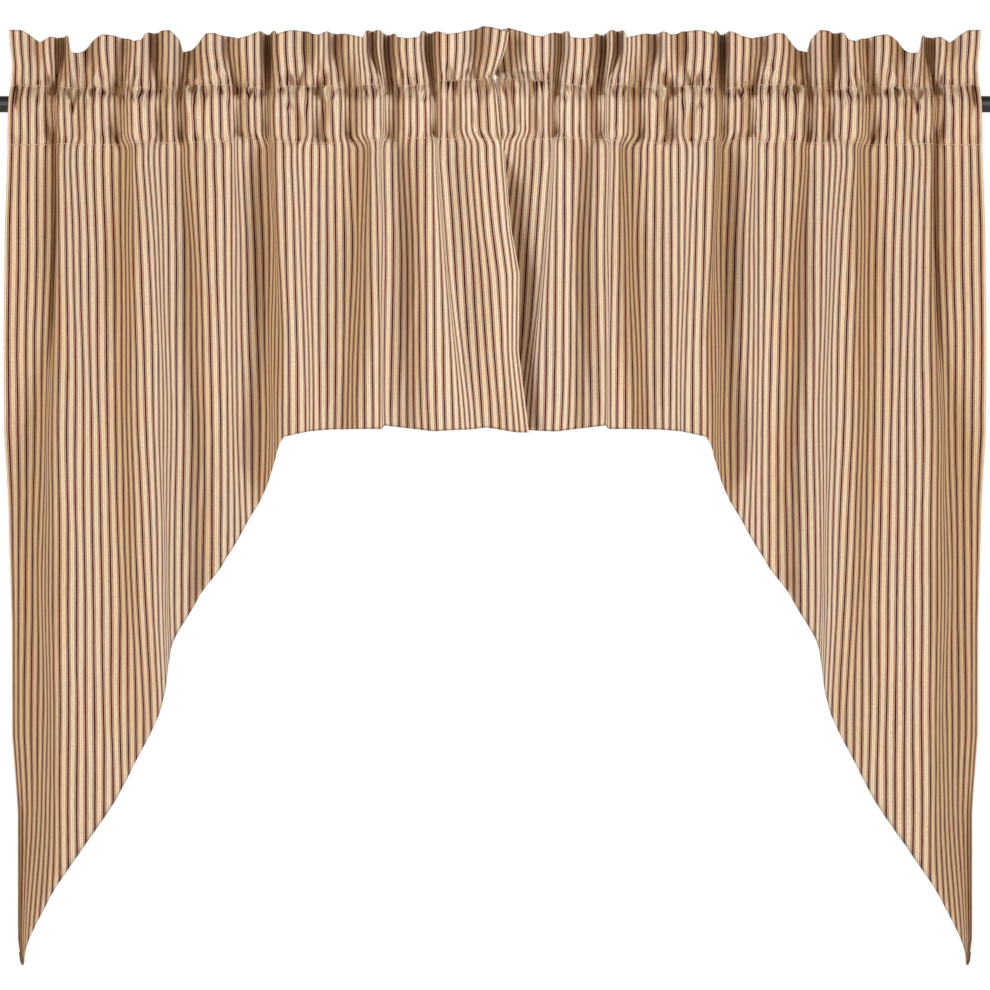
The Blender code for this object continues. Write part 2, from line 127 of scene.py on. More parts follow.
# Below the pocket. Columns: stripe, how far out the crease lies at the lower
# stitches and 132, 230 and 312 mm under the rod, depth at 132 and at 312 mm.
HANGING_CREASES = (
    (0.5, 475.2, 477, 477.8, 478.4, 12, 30),
    (2, 463.7, 464.2, 465.5, 465.5, 11, 30),
    (4, 446.7, 446.3, 448.8, 449.5, 10, 26),
    (5, 438.2, 438, 441.2, 443, 8, 21),
    (6, 430.6, 430.5, 434.6, 438.6, 6, 14),
    (7.4, 428, 428.3, 432.2, 436.2, 14, 2),
    (9, 426.5, 426, 429.6, 430.4, -3, -10),
    (10, 425.4, 424, 423.5, 423.6, -11, -15),
    (11, 417.9, 415.4, 414.9, 414.9, -12, -14),
    (12, 413.5, 409.3, 408.1, 407.7, -6, -10),
    (13, 407.8, 404, 401.7, 400.3, 1, -6),
    (15, 391.4, 389.4, 387.6, 386, 10, 2),
    (16, 382.6, 380.6, 378.8, 377.3, 11, 2),
    (17, 373.7, 371.9, 370.3, 369.1, 10, 0),
    (18, 365.1, 364.3, 363.5, 362.5, 6, -5),
    (19, 358.8, 359.4, 359, 357.5, -1, -12),
    (20, 354.8, 355.4, 354.5, 352.9, -9, -18),
    (21, 352.4, 351.3, 348.5, 346.8, -16, -20),
    (22, 349.5, 343.9, 340.3, 338, -19, -19),
    (23, 340.8, 335.3, 331.8, 330.4, -19, -15),
    (24, 336.7, 330.1, 327, 325.2, -13, -8),
    (26, 326.7, 323.1, 321.3, 319.5, 3, 8),
    (27, 320.4, 319.1, 317.4, 316.6, 10, 16),
    (28, 311.6, 311.6, 311.4, 312.4, 15, 23),
    (29, 305.7, 303.3, 303.1, 304.9, 16, 27),
    (30, 303, 297.2, 295.8, 296, 10, 27),
    (31, 299.1, 293, 290.1, 289.7, 2, 21),
    (32, 291, 287.6, 285.1, 283.4, -4, 15),
    (33, 282.2, 279.4, 277.4, 276.2, -7, 11),
    (34, 273.3, 270.5, 268.5, 267.4, -7, 11),
    (35, 264.5, 262.3, 260.8, 260.9, -5, 16),
    (36, 255.9, 256.1, 256.3, 256, 1, 23),
    (37, 254, 252.3, 253.1, 252.2, 9, 30),
    (38, 251.8, 248.7, 248.3, 246.5, 17, 33),
    (39, 247, 243.3, 241.1, 238.4, 24, 33),
    (40, 238.8, 235.5, 232.4, 230, 28, 31),
    (41, 230.5, 227, 225, 223.8, 26, 25),
    (42, 221.7, 220.1, 221, 220.1, 20, 17),
    (43, 219.5, 215.7, 218.1, 217.6, 12, 9),
    (45, 215.9, 212.5, 210.2, 211.2, -5, -7),
    (46, 214.3, 210.9, 206.3, 206.4, -13, -12),
    (47, 205.3, 202.6, 201, 200, -14, -14),
    (48, 197.5, 194.2, 192.3, 191.5, -11, -13),
    (49, 192.6, 188.7, 185.5, 182.7, -4, -11),
    (50, 187.4, 185, 181.8, 179.9, 4, -3),
    (51, 179.1, 180.7, 178.1, 177.3, 11, 5),
    (52, 171.4, 172.7, 172.2, 171.1, 15, 11),
    (53, 164.2, 164.3, 164, 164, 16, 16),
    (55, 148.6, 146.7, 146.9, 149.7, 14, 14),
    (56, 142.7, 138.3, 141.4, 144.7, 12, 7),
    (57, 134.1, 133.2, 137.4, 139.4, 5, 0),
    (58, 127, 130.2, 133.6, 134.1, -3, -6),
    (59, 123.2, 126.4, 127.7, 126.3, -11, -9),
    (60, 121.7, 121, 119.7, 117.7, -17, -8),
    (61, 115.9, 112.5, 112.1, 111.3, -18, -6),
    (61.5, 112.5, 110, 109.7, 110, -17, -5),
    (63, 113, 112, 111.8, 112, -4, 8),
    (65, 109.4, 107.9, 108.4, 109.6, 16, 24),
    (66, 99.9, 99.4, 100.9, 102.9, 18, 26),
    (67, 94.3, 91.3, 92.2, 95, 15, 24),
    (68, 90.1, 85.3, 85.2, 87.1, 9, 21),
    (69, 84.3, 80.3, 79.3, 80.3, 1, 16),
    (70, 76.4, 74.8, 73.2, 72.4, -5, 13),
    (71, 67.8, 67.8, 66.8, 65.4, -10, 9),
    (72, 60, 59.2, 59.2, 57, -10, 8),
    (73, 57.5, 52.8, 50.3, 49.1, -4, 9),
    (74, 56.5, 49.7, 43.8, 40.1, 4, 9),
    (75, 55.5, 49, 40.4, 33.2, 12, 12),
    (76, 54.9, 48.4, 38.5, 28.3, 19, 17),
    (77, 46, 41, 33.5, 24.3, 21, 22),
    (78, 37.3, 32.5, 26.2, 19.5, 19, 25),
    (79, 29.2, 24.1, 17.6, 12.1, 16, 25),
    (80, 22.8, 17.3, 9.4, 3.3, 12, 23),
    (81, 16.9, 10.4, 1.6, -4.4, 9, 19),
    (82, 8.4, 2.2, -7.2, -11.2, 8, 16),
    (83, 0.6, -6.7, -12.8, -18.4, 8, 13),
    (84, -6.5, -13.1, -16.1, -23.5, 10, 12),
    (85.6, -9, -17, -23, -32, 14, 14),
)
# The tail. Columns: stripe, how far out at 483, 600, 717 and 846 mm under the
# rod, depth at the same four heights.
TAIL_CREASES = (
    (0.5, 472, 472.3, 467, 463, 40, 46, 34, 22),
    (2, 466.5, 467, 464, 462, 37, 39, 42, 27),
    (3, 459.5, 460.5, 459, 461, 33, 33, 36, 19),
    (4, 453, 453, 454, 459.5, 28, 28, 29, 11),
    (5, 447, 446, 448.5, 457, 22, 22, 22, 4),
    (6, 442.1, 440.6, 443.3, 452.5, 15, 16, 14, -1),
    (7, 438.2, 436.4, 438.2, 446.5, 8, 9, 6, -4),
    (8, 434.3, 432.4, 433.6, 439.5, 0, 1, -1, -6),
    (9, 430, 428.3, 428.6, 432.5, -7, -6, -8, -8),
    (10, 422.9, 422.3, 422.7, 425, -12, -11, -12, -10),
    (11, 414.1, 413.8, 414.2, 414, -12, -11, -12, -12),
    (13, 398.2, 398.1, 396.6, 397, -7, -8, -10, -10),
    (15, 382.5, 380.5, 380, 380, 0, -4, -6, -6),
    (17, 365.1, 364.1, 363, 363, -1, -4, -4, -4),
    (18, 358.2, 355.9, 355, 355, -5, -6, -6, -6),
    (20, 346.4, 340.8, 340, 340, -14, -12, -12, -12),
    (22, 330.8, 325.8, 325, 325, -18, -17, -17, -17),
    (24, 322.3, 318, 318, 318, -10, -8, -8, -8),
    (27, 318.8, 314, 314, 314, 12, 12, 12, 12),
    (28, 314.2, 310, 310, 310, 20, 20, 20, 20),
    (30, 300.1, 299, 299, 299, 27, 27, 27, 27),
    (32, 286.1, 286, 286, 286, 18, 18, 18, 18),
    (34, 267, 267, 267, 267, 12, 12, 12, 12),
    (39, 236.5, 236.5, 236.5, 236.5, 33, 33, 33, 33),
    (45, 211, 211, 211, 211, -7, -7, -7, -7),
    (85.6, -32, -32, -32, -32, 14, 14, 14, 14),
)
# Heights at which the cloth lies as one of the tables says, from the top down.
# Columns: height, table, its column of distances out, its column of depths,
# and the share of those depths that the cloth has there.
CREASE_LEVELS = (
    (73.0, RUFFLE_CREASES, 1, 2, 1.8),
    (52.0, RUFFLE_CREASES, 1, 2, 1.75),
    (8.0, POCKET_CREASES, 1, 2, 1.0),
    (-22.0, POCKET_CREASES, 1, 2, 1.4),
    (-35.0, POCKET_CREASES, 1, 2, 1.0),
    (-43.0, HANGING_CREASES, 1, 5, 0.6),
    (-60.0, HANGING_CREASES, 1, 5, 0.75),
    (-132.0, HANGING_CREASES, 2, 5, 1.0),
    (-230.0, HANGING_CREASES, 3, 5, 0.95),
    (-312.0, HANGING_CREASES, 4, 6, 1.0),
    (-483.0, TAIL_CREASES, 1, 5, 1.0),
    (-600.0, TAIL_CREASES, 2, 6, 1.0),
    (-717.0, TAIL_CREASES, 3, 7, 1.0),
    (-846.0, TAIL_CREASES, 4, 8, 1.0),
)
FLATTENED_DEPTH = 6.0
STRIPE_REPEAT = 8.7
EDGE_STRIPE = 0.5

# The two upright edges. Columns: height, how far out from the middle.
OUTER_EDGE = (
    (73, 472), (35, 469.5), (5, 472), (-40, 475), (-115, 478), (-320, 481),
    (-385, 477.5), (-505, 475), (-615, 475), (-690, 468.5), (-815, 467), (-850, 462),
)
INNER_EDGE = (
    (73, -14), (60, -12), (45, -8), (24, -1), (18, 1.2), (15, 0.2), (8, -1.5),
    (0, -3), (-40, -8), (-122, -16),
    (-165, -24), (-240, -23), (-303, -31), (-320, -33),
)
INNER_EDGE_BEHIND = (
    (73, -8), (45, -4), (24, -1), (18, 1.6), (15, 0.6), (8, 2), (0, 3.5),
    (-40, 8.5), (-48, 9.5), (-80, -6), (-122, -16), (-240, -23), (-303, -31), (-320, -33),
)
# Where the right panel's inner part lies behind the left one's. Columns:
# height, share of it that has gone behind, and how deep it lies there.
BEHIND = (
    (73, 1.0, 24), (28, 1.0, 24), (15, 0.0, 24), (-46, 0.0, 38), (-80, 1.0, 38), (-330, 1.0, 38),
)
BEHIND_FLATTENED = 0.3
BEHIND_FROM = 36.0
BEHIND_TO = 85.0

# Top of the ruffle. Columns: how far out from the middle, dip below its top.
RUFFLE_DIPS = (
    (472, 2), (459.7, 2), (454, 5), (442.6, 14), (432, 8), (425.6, 6), (417, 6),
    (414.6, 9), (412.6, 23), (407, 22.5), (400.7, 19.5), (393, 11.5), (382, 6), (371, 6),
    (358.7, 9), (351, 12.5), (343.6, 11), (340.8, 4), (338.5, 2), (315.4, 2), (309, 8),
    (305.8, 20), (296.5, 18.5), (289, 14), (281, 5), (273, 4.5), (260.8, 6), (250, 10),
    (239.4, 7.5), (227.7, 1.5), (214, 2), (212, 6), (202, 2.5), (192.7, 0.5), (182.8, 1),
    (177, 5), (171, 6), (163.3, 1.5), (146, 5), (128.2, 9), (126.6, 3), (123.5, 0),
    (108.7, 2), (97, 5), (94.8, 8.5), (85.5, 10), (74, 8.5), (72, 2), (69, 0),
    (54.4, 3), (46.6, 6), (37.2, 4.5), (26.4, 0), (15.5, -3), (6, 0), (0, 2.5),
)
# Where the tail is cut. Columns: place across the cloth, length from the top.
TAIL_CUT = ((22, 914), (128, 766), (210, 632), (300, 514), (397.5, 398))
# Waves of the short hem. Columns: how far out from the middle, rise above the corner.
HEM_WAVES = (
    (206, 0), (180, 6), (160, 8), (111, 8), (108, 12), (60, 6), (25, 8),
    (8, 10), (-20, 5), (-40, 5),
)

# How finely the folds are followed and the cloth is divided. Steps are the
# distances between the mesh's rows.
SAMPLES = 900
LEVELS = 460
COLUMNS = 520
RUFFLE_STEP = 1.9
POCKET_STEP = 1.9
BELOW_POCKET_STEP = 2.8
BELOW_POCKET_END = -97.0
HANGING_ROWS = 60


def column_of(table, index):
    return np.array([row[index] for row in table], dtype=float)


def look_up(table, value, index=1):
    """A column of a table, read at a value of its first column."""
    first, wanted = column_of(table, 0), column_of(table, index)
    order = np.argsort(first)
    return np.interp(value, first[order], wanted[order])


def smooth_step(value, start, end):
    share = np.clip((value - start) / (end - start), 0.0, 1.0)
    return share * share * (3.0 - 2.0 * share)


def blurred(values, spacing, reach):
    """Values along their first axis, rounded off over the given reach."""
    half = max(1, int(3.0 * reach / spacing))
    offsets = np.arange(-half, half + 1)
    weights = np.exp(-0.5 * (offsets * spacing / reach) ** 2)
    weights /= weights.sum()
    before = 2.0 * values[0] - values[half:0:-1]
    after = 2.0 * values[-1] - values[-2:-half - 2:-1]
    padded = np.concatenate([before, values, after])
    return sum(weight * padded[start:start + len(values)] for start, weight in enumerate(weights))


def creased_line(creases, out_column, depth_column, deep):
    """The cloth seen from above at one level: (out, depth) at even places."""
    across = (column_of(creases, 0) - EDGE_STRIPE) * STRIPE_REPEAT
    places = np.linspace(0.0, CLOTH_WIDTH, SAMPLES)
    columns = [column_of(creases, index) for index in (out_column, depth_column)]
    line = np.stack([np.interp(places, across, column) for column in columns], axis=1)
    line = blurred(line, CLOTH_WIDTH / (SAMPLES - 1), CREASE_ROUNDING)
    line[:, 1] = FLATTENED_DEPTH + deep * (line[:, 1] - FLATTENED_DEPTH)
    return line


# The folds are followed a little past the cloth's top and tip. Near the
# heading they change quickly with height, and slowly where the cloth hangs.
PAST_TOP = 4.0
PAST_TIP = 8.0
HEADING_BLUR = 3.0
HANGING_BLUR = 22.0
HANGING_STARTS = 60.0
HANGING_IS_FULL = 130.0


def folded_lines():
    """Lines at even steps of height, from the ruffle's top to the tail's tip."""
    levels = column_of(CREASE_LEVELS, 0)
    known = np.array([creased_line(*row[1:]) for row in CREASE_LEVELS])
    heights = np.linspace(HEADING_TOP + PAST_TOP, HEADING_TOP - TAIL_DROP - PAST_TIP, LEVELS)
    step = heights[0] - heights[1]
    place = np.interp(-heights, -levels, np.arange(len(levels)))
    low = np.clip(place.astype(int), 0, len(levels) - 2)
    share = (place - low)[:, None, None]
    sharp = (1.0 - share) * known[low] + share * known[low + 1]
    hanging = smooth_step(-heights, HANGING_STARTS, HANGING_IS_FULL)[:, None, None]
    in_heading, below = blurred(sharp, step, HEADING_BLUR), blurred(sharp, step, HANGING_BLUR)
    return heights, in_heading * (1.0 - hanging) + below * hanging


LINE_HEIGHTS, LINES = folded_lines()


def read_lines(across, height):
    """Point (out, depth), for a place across the cloth and a height."""
    level = np.interp(-height, -LINE_HEIGHTS, np.arange(LEVELS))
    place = np.clip(across / CLOTH_WIDTH, 0.0, 1.0) * (SAMPLES - 1)
    low_level = np.clip(level.astype(int), 0, LEVELS - 2)
    low_place = np.clip(place.astype(int), 0, SAMPLES - 2)
    level_share = (level - low_level)[..., None]
    place_share = (place - low_place)[..., None]
    above = (1 - place_share) * LINES[low_level, low_place] + place_share * LINES[low_level, low_place + 1]
    low_level = low_level + 1
    below = (1 - place_share) * LINES[low_level, low_place] + place_share * LINES[low_level, low_place + 1]
    return (1 - level_share) * above + level_share * below


# The two rows of stitches wander up and down. Columns: stripe, lift of the row.
UPPER_LIFT = (
    (0.5, 1.8), (8, 1.5), (12, -1), (17, 1), (20, 2.5), (24, -1.5), (30, 1.5), (36, 2.5),
    (41, -0.5), (46, 0), (52, 2), (56, -0.5), (62, 3), (66, 2), (69, 0.5), (72, 5), (77, 7),
    (80, 8), (82, 8.5), (85.6, 8.5),
)
LOWER_LIFT = (
    (0.5, 0.5), (18.5, 0.5), (24, 2), (31.3, 2.5), (36, 3), (37.3, 8), (40, 8), (41.5, 3),
    (49, 2.5), (59, 2.5), (63, 5), (66, 6.4), (80, 6.4), (85.6, 5),
)
LIFT_ENDS = -100.0
LIFT_ENDS_ABOVE = 53.0


def lifted(across, height):
    """How far the wandering stitches carry the cloth up at a place."""
    stripe = across / STRIPE_REPEAT + EDGE_STRIPE
    upper = smooth_step(height, LOWER_STITCH, UPPER_STITCH)
    upper = upper * (1.0 - smooth_step(height, UPPER_STITCH, LIFT_ENDS_ABOVE))
    lower = smooth_step(height, LIFT_ENDS, LOWER_STITCH)
    lower = lower * (1.0 - smooth_step(height, LOWER_STITCH, UPPER_STITCH))
    return upper * look_up(UPPER_LIFT, stripe) + lower * look_up(LOWER_LIFT, stripe)


# Puckers that the gathering thread makes. Each is a short groove that starts
# at a row of stitches and dies out away from it. Columns of one pucker: place
# across the cloth, length, lean to the side, depth, half width. Beside the
# groove stand two low lips, and the cloth is squeezed together in it.
FIRST_PUCKER = 6.0
LAST_PUCKER = 4.0
MOST_LEAN = 10.0
LENGTH_SHARES = (0.3, 1.0)
DEPTH_SHARES = (0.35, 1.0)
HALF_WIDTHS = (1.6, 3.2)
SPACING_SHARES = (0.6, 1.5)


def puckers(seed, spacing, longest, deepest):
    draw = np.random.default_rng(seed)
    rows = []
    place = FIRST_PUCKER
    while place < CLOTH_WIDTH - LAST_PUCKER:
        rows.append((
            place, longest * draw.uniform(*LENGTH_SHARES), draw.uniform(-MOST_LEAN, MOST_LEAN),
            deepest * draw.uniform(*DEPTH_SHARES), draw.uniform(*HALF_WIDTHS),
        ))
        place += spacing * draw.uniform(*SPACING_SHARES)
    return rows


# Columns: height of the row of stitches, side of it (1 is above), its puckers.
PUCKER_ROWS = (
    (UPPER_STITCH, -1.0, puckers(11, 8.0, 26.0, 8.0)),
    (UPPER_STITCH, -1.0, puckers(21, 16.0, 50.0, 8.0)),
    (UPPER_STITCH, 1.0, puckers(12, 11.0, 30.0, 6.5)),
    (LOWER_STITCH, 1.0, puckers(13, 13.0, 22.0, 4.2)),
    (LOWER_STITCH, -1.0, puckers(14, 15.0, 26.0, 1.1)),
)
STITCH_DENT = 0.35
STITCH_DENT_WIDTH = 1.6
LIP = 0.38
LIP_AWAY = 2.3
SQUEEZE = 0.6
MOST_SQUEEZE = 0.75
FACING_REACH = 3.0
LEAST_FACING = 0.1
PUCKER_START = -1.5
PUCKER_FULL = 2.5
FADE_FROM = 0.25
LEAN_REACH = 20.0
LEAN_CURVE = 1.3


def pucker_shift(across, height):
    """Sideways and depth shift in the puckers, and the dents of the stitches."""
    side = np.zeros_like(across)
    depth = np.zeros_like(across)
    for stitch, direction, rows in PUCKER_ROWS:
        away = (height - stitch) * direction
        longest = max(row[1] for row in rows)
        near = (away > PUCKER_START) & (away < longest)
        if not near.any():
            continue
        for place, length, lean, deep, width in rows:
            centre = place + lean * (np.clip(away, 0.0, longest) / LEAN_REACH) ** LEAN_CURVE
            offset = (across - centre) / width
            fade = smooth_step(away, PUCKER_START, PUCKER_FULL)
            fade = fade * (1.0 - smooth_step(away, FADE_FROM * length, length))
            groove = np.exp(-0.5 * offset ** 2) * fade * near
            lip = np.exp(-0.5 * (np.abs(offset) - LIP_AWAY) ** 2) * fade * near
            depth += deep * (groove - LIP * lip)
            side += min(SQUEEZE * deep, MOST_SQUEEZE * width) * offset * groove
        depth += STITCH_DENT * np.exp(-((height - stitch) / STITCH_DENT_WIDTH) ** 2)
    return side, depth


# Slow waves in the cloth, so that no fold is as straight as a ruled line.
# Columns: wavelength across, wavelength down, phase, sideways, depth.
SLOW_WAVES = (
    (61.0, 273.0, 0.4, 0.25, 0.4),
    (37.0, 197.0, 1.9, 0.15, 0.35),
    (23.0, 139.0, 4.1, 0.08, 0.25),
    (113.0, 171.0, 2.7, 0.25, 0.4),
    (17.0, 73.0, 5.2, 0.05, 0.12),
    (29.0, 51.0, 3.3, 0.05, 0.12),
)
WAVES_START = 30.0
WAVES_FULL = 140.0
HEADING_WAVES = 0.35
EDGE_REACH = 70.0
EDGE_CALM = 30.0


def hanging_point(across, height, behind):
    """Point (out, depth) with the edges, the waves and the puckers."""
    point = read_lines(across, height)
    zero, full = np.zeros_like(height), np.full_like(height, CLOTH_WIDTH)
    ends = read_lines(zero, height), read_lines(full, height)
    inner_table = INNER_EDGE_BEHIND if behind else INNER_EDGE
    to_outer = look_up(OUTER_EDGE, height) - ends[0][..., 0]
    to_inner = look_up(inner_table, height) - ends[1][..., 0]
    near_outer = np.clip(1.0 - across / EDGE_REACH, 0.0, 1.0) ** 2
    near_inner = np.clip(1.0 - (CLOTH_WIDTH - across) / EDGE_REACH, 0.0, 1.0) ** 2
    out = point[..., 0] + to_outer * near_outer + to_inner * near_inner
    depth = point[..., 1]
    inside = smooth_step(across, 0.0, EDGE_CALM) * smooth_step(CLOTH_WIDTH - across, 0.0, EDGE_CALM)
    hanging = smooth_step(-height, WAVES_START, WAVES_FULL)
    for wide, long, phase, side, deep in SLOW_WAVES:
        wave = np.sin(2 * np.pi * (across / wide + height / long) + phase)
        out = out + side * wave * inside * hanging
        second_wave = np.cos(2 * np.pi * (across / wide - height / long) + 2 * phase)
        depth = depth + deep * second_wave * (HEADING_WAVES + (1.0 - HEADING_WAVES) * hanging)
    side, deep = pucker_shift(across, height)
    facing = read_lines(across - FACING_REACH, height) - read_lines(across + FACING_REACH, height)
    face_on = np.clip(facing[..., 0] / (2.0 * FACING_REACH), LEAST_FACING, 1.0)
    out = out - side * inside * face_on
    depth = depth + deep * face_on
    if behind:
        share = look_up(BEHIND, height, 1) * (1.0 - smooth_step(out, BEHIND_FROM, BEHIND_TO))
        base = look_up(BEHIND, height, 2)
        flattened = base + BEHIND_FLATTENED * (depth - 0.5 * base)
        depth = depth + share * (flattened - depth)
    return out, depth


def cloth_point(across, height, wall, behind):
    """Point of the left panel; wall -1 is the pocket's front, 1 its back."""
    out, depth = hanging_point(across, height, behind)
    depth = depth - MEAN_DEPTH
    in_pocket = np.clip((height - LOWER_STITCH) / (UPPER_STITCH - LOWER_STITCH), 0.0, 1.0)
    bulge = POCKET_BULGE * np.sin(np.pi * in_pocket ** BULGE_LEAN)
    level = height + lifted(across, height)
    over_rod = np.sqrt(np.maximum(ROD_REACH ** 2 - level ** 2, 0.0))
    below_rod = ROD_REACH - HANG_BACK * np.clip(level / LOWER_STITCH, 0.0, 1.0) ** HANG_BACK_CURVE
    clear = np.where(level > 0.0, over_rod, below_rod)
    beside_rod = (level <= ROD_REACH) & (height > LOWER_STITCH)
    reach = np.where(beside_rod, np.maximum(wall * depth + bulge, clear), wall * depth + bulge)
    return np.stack([-out, wall * reach, level], axis=-1)


SMALL_STEP = 0.8


def square_to(across, height, wall, behind):
    """Direction square to the cloth, pointing to its back."""
    left, right = [cloth_point(across + step, height, wall, behind) for step in (-SMALL_STEP, SMALL_STEP)]
    low, high = [cloth_point(across, height + step, wall, behind) for step in (-SMALL_STEP, SMALL_STEP)]
    normal = np.cross(high - low, right - left)
    normal /= np.linalg.norm(normal, axis=-1, keepdims=True) + 1e-9
    return normal


HEM_LEVEL = -317.0
RUFFLE_LEVEL = 63.0
BEHIND_LIFT = 6.0


def bottom_height(across, behind):
    """Height of the cut; the part that lies behind the other panel is a little higher."""
    out = read_lines(across, np.full_like(across, HEM_LEVEL))[..., 0]
    wave = look_up(HEM_WAVES, out) * (across >= TAIL_CUT[-1][0])
    lift = BEHIND_LIFT * (1.0 - smooth_step(out, 0.0, BEHIND_FROM)) if behind else 0.0
    return HEADING_TOP - look_up(TAIL_CUT, across) + wave + lift


def top_height(across):
    out = read_lines(across, np.full_like(across, RUFFLE_LEVEL))[..., 0]
    return HEADING_TOP - look_up(RUFFLE_DIPS, out)


# The mesh has a least number of columns everywhere and more where the cloth
# turns at any of these heights.
EVEN_SHARE = 0.045
TURNING_SHARE = 0.25
TURNS_AT = (40.0, 0.0, -132.0, HEM_LEVEL)


def grid_columns():
    """Places across the cloth for the mesh, closer where it turns."""
    places = np.linspace(0.0, CLOTH_WIDTH, SAMPLES)
    turning = np.full(SAMPLES, EVEN_SHARE)
    for height in TURNS_AT:
        line = LINES[np.argmin(np.abs(LINE_HEIGHTS - height))]
        heading = np.unwrap(np.arctan2(np.gradient(line[:, 1]), -np.gradient(line[:, 0])))
        turning += TURNING_SHARE * np.abs(np.gradient(heading, places))
    grown = np.concatenate(([0.0], np.cumsum(0.5 * (turning[1:] + turning[:-1]))))
    return np.interp(np.linspace(0.0, grown[-1], COLUMNS), grown, places)


def front_heights(across, behind):
    """Heights of the mesh's rows on the front, from the ruffle's top to the hem."""
    top, bottom = top_height(across), bottom_height(across, behind)
    ruffle_rows = int((HEADING_TOP - UPPER_STITCH) / RUFFLE_STEP)
    shares = np.linspace(0.0, 1.0, ruffle_rows, endpoint=False)
    rows = [top + (UPPER_STITCH - top) * share for share in shares]
    fixed = list(np.arange(UPPER_STITCH, LOWER_STITCH, -POCKET_STEP))
    fixed += list(np.arange(LOWER_STITCH, BELOW_POCKET_END, -BELOW_POCKET_STEP))
    rows += [np.full_like(across, height) for height in fixed]
    start = fixed[-1]
    rows += [start + (bottom - start) * (step + 1) / HANGING_ROWS for step in range(HANGING_ROWS)]
    return np.array(rows)


TURNED_GAP = 1.0
RUFFLE_GAP = 2.2
TURNED_STEP = 3.0
RUFFLE_BACK_ROWS = 18
TURNED_EDGE = 3.0
BILLOW_REPEAT = 9.0
BILLOW_CHANGE = 0.3
LAYERS_MEET = 0.93


def turned_heights(across):
    """Heights of the rows of the part turned over to the back, from its edge up."""
    top = top_height(across)
    edge = LOWER_STITCH - TURNED_EDGE
    fixed = list(np.arange(edge, UPPER_STITCH, TURNED_STEP)) + [UPPER_STITCH]
    rows = [np.full_like(across, height) for height in fixed]
    shares = np.linspace(0.0, 1.0, RUFFLE_BACK_ROWS)[1:-1]
    rows += [UPPER_STITCH + (top - UPPER_STITCH) * share for share in shares]
    return np.array(rows)


def turned_points(across, heights, behind):
    """The turned-over layer: the pocket's back wall, then the ruffle's back."""
    points = cloth_point(across, heights, 1.0, behind)
    normal = square_to(across, heights, -1.0, behind)
    top = top_height(across)
    in_ruffle = np.clip((heights - UPPER_STITCH) / (top - UPPER_STITCH), 0.0, 1.0)
    uneven = 1.0 - BILLOW_CHANGE + BILLOW_CHANGE * np.sin(across / BILLOW_REPEAT)
    billow = np.sin(np.pi * in_ruffle) * RUFFLE_GAP * uneven
    gap = TURNED_GAP * (1.0 - smooth_step(in_ruffle, LAYERS_MEET, 1.0)) + billow
    back = np.array([0.0, 1.0, 0.0])
    behind_ruffle = cloth_point(across, heights, -1.0, behind) + normal * gap[..., None]
    low = (heights <= UPPER_STITCH)[..., None]
    return np.where(low, points + back * TURNED_GAP, behind_ruffle)


class Cloth:
    """Vertices, faces and flat places of one sheet while it is put together."""

    def __init__(self):
        self.points, self.flat, self.faces = [], [], []

    def add(self, points, flat):
        first = sum(len(block) for block in self.points)
        rows, columns = points.shape[:2]
        self.points.append(points.reshape(-1, 3))
        self.flat.append(flat.reshape(-1, 2))
        return np.arange(first, first + rows * columns).reshape(rows, columns)

    def join(self, index):
        """Faces between the rows and columns of a grid of vertex numbers."""
        a, b = index[:-1, :-1].ravel(), index[:-1, 1:].ravel()
        c, d = index[1:, 1:].ravel(), index[1:, :-1].ravel()
        self.faces.append(np.stack([a, b, c, d], axis=1))

    def mesh(self, name, mirrored):
        points = np.vstack(self.points) * MM
        flat = np.vstack(self.flat) * MM
        faces = np.vstack(self.faces)
        if mirrored:
            points = points * (-1.0, 1.0, 1.0)
            faces = faces[:, ::-1]
        made = bpy.data.meshes.new(name)
        made.from_pydata(points.tolist(), [], faces.tolist())
        layer = made.uv_layers.new(name="cloth")
        corners = np.zeros(len(made.loops), dtype=np.int32)
        made.loops.foreach_get("vertex_index", corners)
        layer.data.foreach_set("uv", flat[corners].ravel())
        made.validate()
        made.shade_smooth()
        return made


# Hems. Rows of a hem, as shares of its depth from the folded edge.
HEM_ROWS = (0.35, 1.0)
HEM_GAP = 1.0
SIDE_HEM_GAP = 0.6
SIDE_HEM_START = -44.0


def add_bottom_hem(cloth, across, last_row, behind):
    """Narrow hem turned up behind the short hem and the slanted tail."""
    bottom = bottom_height(across, behind)
    slope_across = np.gradient(across)
    slope_down = np.gradient(bottom)
    length = np.hypot(slope_across, slope_down)
    inward = np.stack([-slope_down / length, slope_across / length], axis=-1)
    rows, flats = [], []
    for share in HEM_ROWS:
        places = np.clip(across + inward[:, 0] * HEM_TURN * share, 0.0, CLOTH_WIDTH)
        heights = bottom + inward[:, 1] * HEM_TURN * share
        points = cloth_point(places, heights, -1.0, behind)
        points = points + square_to(places, heights, -1.0, behind) * HEM_GAP
        rows.append(points)
        flats.append(np.stack([places, heights], axis=-1))
    index = cloth.add(np.array(rows), np.array(flats))
    cloth.join(np.vstack([last_row[None, :], index]))


def add_side_hem(cloth, edge_column, heights, at_outer, behind):
    """Narrow hem turned in behind one upright edge."""
    columns, flats = [], []
    for share in HEM_ROWS:
        inset = HEM_TURN * share
        places = np.full_like(heights, inset if at_outer else CLOTH_WIDTH - inset)
        points = cloth_point(places, heights, -1.0, behind)
        points = points + square_to(places, heights, -1.0, behind) * SIDE_HEM_GAP
        columns.append(points)
        flats.append(np.stack([places, heights], axis=-1))
    index = cloth.add(np.array(columns), np.array(flats))
    grid = np.vstack([edge_column[None, :], index])
    cloth.join(grid[::-1] if at_outer else grid)


